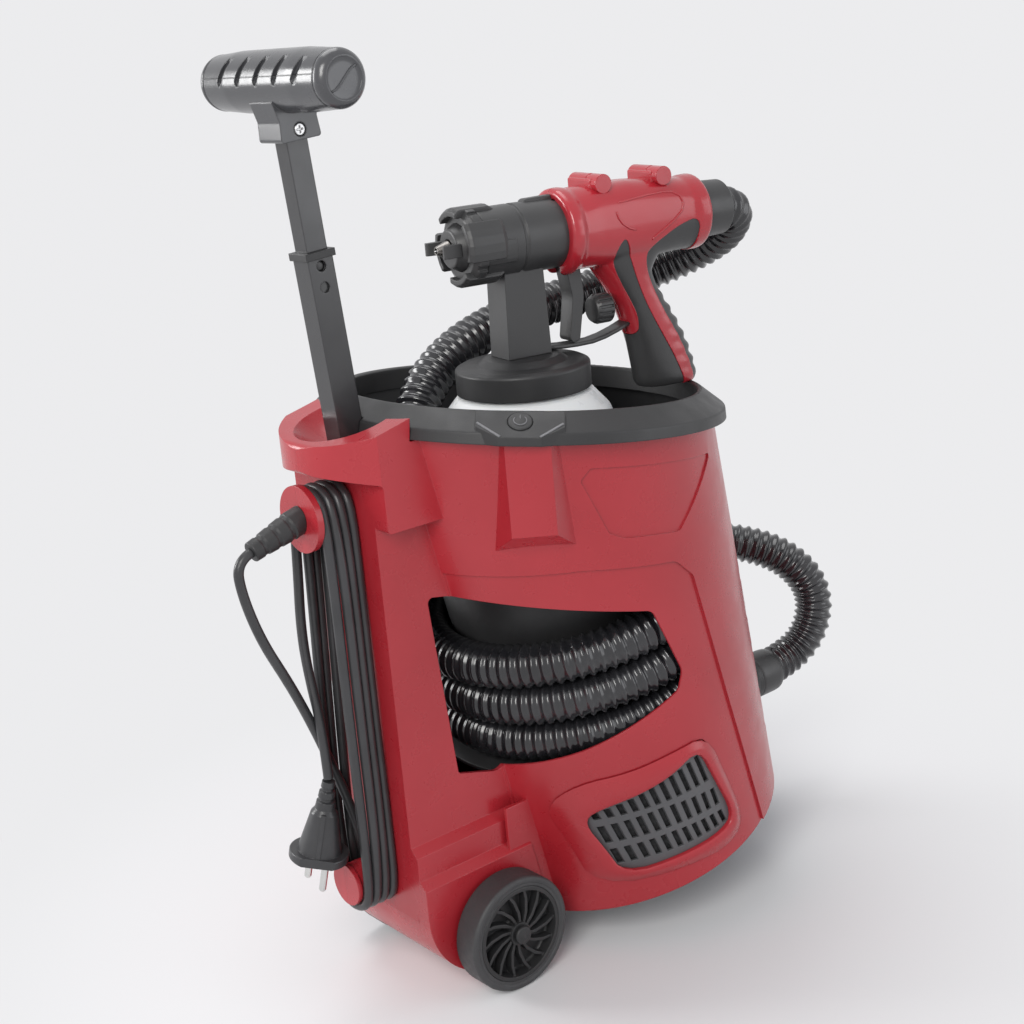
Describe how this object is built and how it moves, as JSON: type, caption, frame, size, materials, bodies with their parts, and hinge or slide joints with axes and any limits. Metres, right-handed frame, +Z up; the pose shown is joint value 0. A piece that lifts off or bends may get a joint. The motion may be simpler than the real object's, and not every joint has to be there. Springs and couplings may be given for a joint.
{
  "type": "trolley paint sprayer",
  "caption": "Wheeled red tub with an air turbine, ribbed hose store, wound mains cord, telescopic T handle and a spray gun with paint cup stowed in its rim",
  "frame": {"origin": "On the floor, under the middle of the machine between the cord spool's end and the outlet cuff's end, with y = 0 the parting plane of the two housing halves. Cord, plug and hose are left out.", "axes": "+Z up, +X towards the front of the tub, away from wheels and handle, +Y to the side with the large hose window."},
  "size_m": [0.5265, 0.2905, 0.618],
  "materials": {
    "red_housing": "moulded satin gloss",
    "red_gun": "moulded gloss",
    "black_trim": "fine moulded grain",
    "grey_plastic": "moulded",
    "grip_rubber": "soft matte",
    "hose": "ribbed satin",
    "cord": "smooth satin",
    "tyre": "matte",
    "handle_tube": "semi gloss black",
    "steel": "plain",
    "nickel": "plated",
    "brass": "turned",
    "cup_white": "milky",
    "foam": "open foam",
    "motor_metal": "can",
    "clear_tube": "milky tube"
  },
  "bodies": {
    "machine": {"axle": "steel", "base_plate": "black_trim", "cap_ring": "black_trim", "collar": "black_trim", "cord_winding": "cord", "cup": "cup_white", "cup_lid": "black_trim", "fan_housing": "grey_plastic", "fan_stand": "grey_plastic", "filter_pad": "foam", "fluid_nozzle": "brass", "foot_pad": "grip_rubber", "front_foot": "black_trim", "front_hose": "hose", "grille": "grey_plastic", "grip_pad": "grip_rubber", "gun_barrel": "black_trim", "gun_body_left": "red_gun", "gun_body_right": "red_gun", "gun_hose": "hose", "gun_tray": "black_trim", "handle_socket": "black_trim", "hose_coil": "hose", "hose_connector": "black_trim", "hose_core": "black_trim", "hose_cuff": "black_trim", "hose_deck": "black_trim", "housing_left": "red_housing", "housing_right": "red_housing", "housing_screws": "steel", "lid_gasket": "grip_rubber", "mains_cord": "cord", "motor_can": "motor_metal", "outlet_duct": "grey_plastic", "pickup_tube": "clear_tube", "plug_body": "cord", "plug_pins": "nickel", "power_switch": "grey_plastic", "push_caps": "black_trim", "strain_relief": "cord", "trigger_pin": "steel"},
    "wheel_right": {"wheel_hub_right": "black_trim", "tyre_right": "tyre"},
    "wheel_left": {"wheel_hub_left": "black_trim", "tyre_left": "tyre"},
    "outer_tube": {"outer_tube": "handle_tube", "tube_collar": "black_trim"},
    "handle": {"inner_tube": "handle_tube", "grip_body": "black_trim", "grip_top": "black_trim", "grip_ends": "grey_plastic", "grip_screw": "steel", "snap_spring": "steel"},
    "snap": {"snap_button": "grey_plastic"},
    "power": {"power_button": "black_trim"},
    "fan": {"impeller": "grey_plastic"},
    "trigger": {"trigger": "black_trim"},
    "needle": {"needle": "steel"},
    "knob": {"flow_knob": "black_trim"},
    "air_cap": {"air_cap": "black_trim"}
  },
  "joints": [
    {"name": "wheel_right_spin", "type": "hinge", "parent": "machine", "child": "wheel_right", "pos_m": [-0.107, -0.0605, 0.04], "axis": [0, 1, 0], "continuous": true},
    {"name": "wheel_left_spin", "type": "hinge", "parent": "machine", "child": "wheel_left", "pos_m": [-0.107, 0.0605, 0.04], "axis": [0, 1, 0], "continuous": true},
    {"name": "outer_tube_slide", "type": "slide", "parent": "machine", "child": "outer_tube", "axis": [-0.0785, 0, 0.9969], "range_m": [-0.099, 0]},
    {"name": "inner_tube_slide", "type": "slide", "parent": "outer_tube", "child": "handle", "axis": [-0.0785, 0, 0.9969], "range_m": [-0.06, 0]},
    {"name": "snap_press", "type": "slide", "parent": "handle", "child": "snap", "axis": [0, -1, 0], "range_m": [0, 0.0028]},
    {"name": "power_press", "type": "slide", "parent": "machine", "child": "power", "axis": [0.2661, 0.4394, -0.858], "range_m": [0, 0.0012], "stiffness_N_per_m": 500, "springref_m": -0.001},
    {"name": "fan_spin", "type": "hinge", "parent": "machine", "child": "fan", "pos_m": [0.045, 0, 0.1], "axis": [0, 0, 1], "continuous": true},
    {"name": "trigger_pull", "type": "hinge", "parent": "machine", "child": "trigger", "pos_m": [0.01142, -0.0286, 0.503], "axis": [-0.1736, -0.9848, 0], "range_deg": [0, 6], "stiffness_Nm_per_rad": 0.6, "springref_deg": -8.59},
    {"name": "needle_slide", "type": "slide", "parent": "machine", "child": "needle", "axis": [0.9848, -0.1736, 0], "range_m": [0, 0.00165]},
    {"name": "knob_turn", "type": "hinge", "parent": "machine", "child": "knob", "pos_m": [0.03506, -0.03277, 0.433], "axis": [0.9848, -0.1736, 0], "range_deg": [0, 720]},
    {"name": "air_cap_turn", "type": "hinge", "parent": "machine", "child": "air_cap", "pos_m": [-0.06539, -0.01505, 0.4875], "axis": [0.9848, -0.1736, 0], "range_deg": [-90, 90]}
  ],
  "couplings": [
    {"joint": "needle_slide", "follows": "trigger_pull", "m_per_rad": 0.0155}
  ]
}
